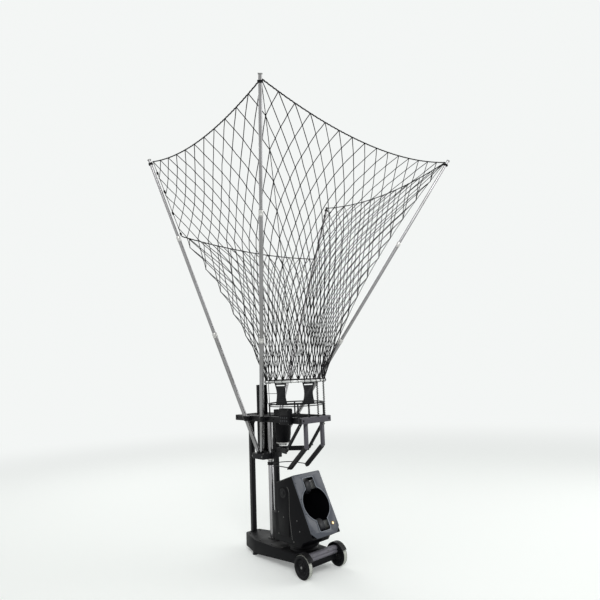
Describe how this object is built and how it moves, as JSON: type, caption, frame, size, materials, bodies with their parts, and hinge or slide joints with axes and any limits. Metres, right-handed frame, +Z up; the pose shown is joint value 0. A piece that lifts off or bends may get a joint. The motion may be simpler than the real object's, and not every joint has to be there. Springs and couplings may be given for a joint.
{
  "type": "basketball shooting machine",
  "caption": "Wheeled ball-throwing machine with a swivelling two-wheel shooting head, an open drop frame and a tall square net funnel on telescopic poles.",
  "frame": {"origin": "centre of the bounding box on the floor plane", "axes": "+Z up, -Y the way the outlet faces, +X to the right of someone standing behind the machine"},
  "size_m": [2.2348, 1.7472, 3.5078],
  "materials": {
    "tray_black": "satin black",
    "black_paint": "satin black powder coat",
    "grey_paint": "satin grey powder coat",
    "black_alloy": "black satin",
    "chrome": "polished",
    "zinc": "satin steel",
    "rim_metal": "satin",
    "shell_black": "satin moulded plastic",
    "slate_panel": "semi-gloss slate",
    "tyre": "light ribbed rubber",
    "wheel_grey": "matt polyurethane",
    "rubber": "matt",
    "lamp_lens": "clear warm lens",
    "net_cord": "black knotted cord"
  },
  "bodies": {
    "machine_frame": {"base_tray": "tray_black", "fender_left": "black_paint", "fender_right": "black_paint", "mast": "black_paint", "rear_post": "black_paint", "frame_side_beam_left": "black_paint", "frame_side_beam_right": "black_paint", "frame_rear_beam": "black_paint", "frame_mid_beam": "black_paint", "pole_channel": "black_paint", "side_guard_left": "black_paint", "side_guard_right": "black_paint", "chute_hoop": "black_paint", "stand_ring": "black_paint", "ring_plate_left": "black_paint", "ring_plate_front": "black_paint", "spring_side": "black_paint", "spring_front": "black_paint", "spring_plate": "black_paint", "column_collar": "black_paint", "frame_front_beam": "grey_paint", "front_bumper": "grey_paint", "ball_rail_left": "grey_paint", "ball_rail_right": "grey_paint", "pole_hub": "black_alloy", "turntable_base": "black_alloy", "column_outer": "chrome", "column_inner": "chrome", "pole_lower_front_left": "chrome", "pole_lower_front_right": "chrome", "pole_lower_rear_left": "chrome", "pole_lower_rear_right": "chrome", "axle": "zinc", "net_ring": "zinc", "feeder_housing": "shell_black", "control_box": "shell_black", "foot_left": "rubber", "foot_right": "rubber", "net": "net_cord"},
    "wheel_left_body": {"wheel_left": "tyre"},
    "wheel_right_body": {"wheel_right": "tyre"},
    "head": {"turntable_plate": "black_alloy", "head_shell": "shell_black", "front_panel": "slate_panel", "outlet_rim": "rim_metal", "shooting_motor_upper": "zinc", "shooting_motor_lower": "zinc", "lamp": "lamp_lens"},
    "shooter_upper": {"shooting_wheel_upper": "wheel_grey"},
    "shooter_lower": {"shooting_wheel_lower": "wheel_grey"},
    "feeder": {"feed_rotor": "zinc"},
    "knob": {"clamp_knob": "rubber"},
    "middle_front_left": {"pole_middle_front_left": "chrome"},
    "upper_front_left": {"pole_upper_front_left": "chrome"},
    "middle_front_right": {"pole_middle_front_right": "chrome"},
    "upper_front_right": {"pole_upper_front_right": "chrome"},
    "middle_rear_left": {"pole_middle_rear_left": "chrome"},
    "upper_rear_left": {"pole_upper_rear_left": "chrome"},
    "middle_rear_right": {"pole_middle_rear_right": "chrome"},
    "upper_rear_right": {"pole_upper_rear_right": "chrome"}
  },
  "joints": [
    {"name": "wheel_left_spin", "type": "hinge", "parent": "machine_frame", "child": "wheel_left_body", "pos_m": [-0.193, -0.06137, 0.09], "axis": [1, 0, 0], "continuous": true},
    {"name": "wheel_right_spin", "type": "hinge", "parent": "machine_frame", "child": "wheel_right_body", "pos_m": [0.193, -0.06137, 0.09], "axis": [1, 0, 0], "continuous": true},
    {"name": "head_swivel", "type": "hinge", "parent": "machine_frame", "child": "head", "pos_m": [0, 0.13863, 0.2047], "axis": [0, 0, 1], "range_deg": [-60, 60]},
    {"name": "shooter_upper_spin", "type": "hinge", "parent": "head", "child": "shooter_upper", "pos_m": [0, 0.11855, 0.63568], "axis": [1, 0, 0], "continuous": true},
    {"name": "shooter_lower_spin", "type": "hinge", "parent": "head", "child": "shooter_lower", "pos_m": [0, -0.03556, 0.3371], "axis": [1, 0, 0], "continuous": true},
    {"name": "feed_rotor_spin", "type": "hinge", "parent": "machine_frame", "child": "feeder", "pos_m": [0, 0.36763, 0.9847], "axis": [0, 0, 1], "continuous": true},
    {"name": "clamp_knob_turn", "type": "hinge", "parent": "machine_frame", "child": "knob", "pos_m": [-0.0203, 0.47363, 0.905], "axis": [1, 0, 0], "continuous": true},
    {"name": "pole_middle_front_left_slide", "type": "slide", "parent": "machine_frame", "child": "middle_front_left", "axis": [0.3248, 0.457, -0.828], "range_m": [0, 0.8], "deforming": ["net"]},
    {"name": "pole_upper_front_left_slide", "type": "slide", "parent": "middle_front_left", "child": "upper_front_left", "axis": [0.3248, 0.457, -0.828], "range_m": [0, 0.7]},
    {"name": "pole_middle_front_right_slide", "type": "slide", "parent": "machine_frame", "child": "middle_front_right", "axis": [-0.3248, 0.457, -0.828], "range_m": [0, 0.8]},
    {"name": "pole_upper_front_right_slide", "type": "slide", "parent": "middle_front_right", "child": "upper_front_right", "axis": [-0.3248, 0.457, -0.828], "range_m": [0, 0.7]},
    {"name": "pole_middle_rear_left_slide", "type": "slide", "parent": "machine_frame", "child": "middle_rear_left", "axis": [0.3649, -0.0429, -0.9301], "range_m": [0, 0.7]},
    {"name": "pole_upper_rear_left_slide", "type": "slide", "parent": "middle_rear_left", "child": "upper_rear_left", "axis": [0.3649, -0.0429, -0.9301], "range_m": [0, 0.56]},
    {"name": "pole_middle_rear_right_slide", "type": "slide", "parent": "machine_frame", "child": "middle_rear_right", "axis": [-0.3649, -0.0429, -0.9301], "range_m": [0, 0.7]},
    {"name": "pole_upper_rear_right_slide", "type": "slide", "parent": "middle_rear_right", "child": "upper_rear_right", "axis": [-0.3649, -0.0429, -0.9301], "range_m": [0, 0.56]}
  ],
  "couplings": [
    {"joint": "pole_upper_front_left_slide", "follows": "pole_middle_front_left_slide", "ratio": 0.875},
    {"joint": "pole_middle_front_right_slide", "follows": "pole_middle_front_left_slide", "ratio": 1},
    {"joint": "pole_upper_front_right_slide", "follows": "pole_middle_front_left_slide", "ratio": 0.875},
    {"joint": "pole_middle_rear_left_slide", "follows": "pole_middle_front_left_slide", "ratio": 0.875},
    {"joint": "pole_upper_rear_left_slide", "follows": "pole_middle_front_left_slide", "ratio": 0.7},
    {"joint": "pole_middle_rear_right_slide", "follows": "pole_middle_front_left_slide", "ratio": 0.875},
    {"joint": "pole_upper_rear_right_slide", "follows": "pole_middle_front_left_slide", "ratio": 0.7}
  ]
}
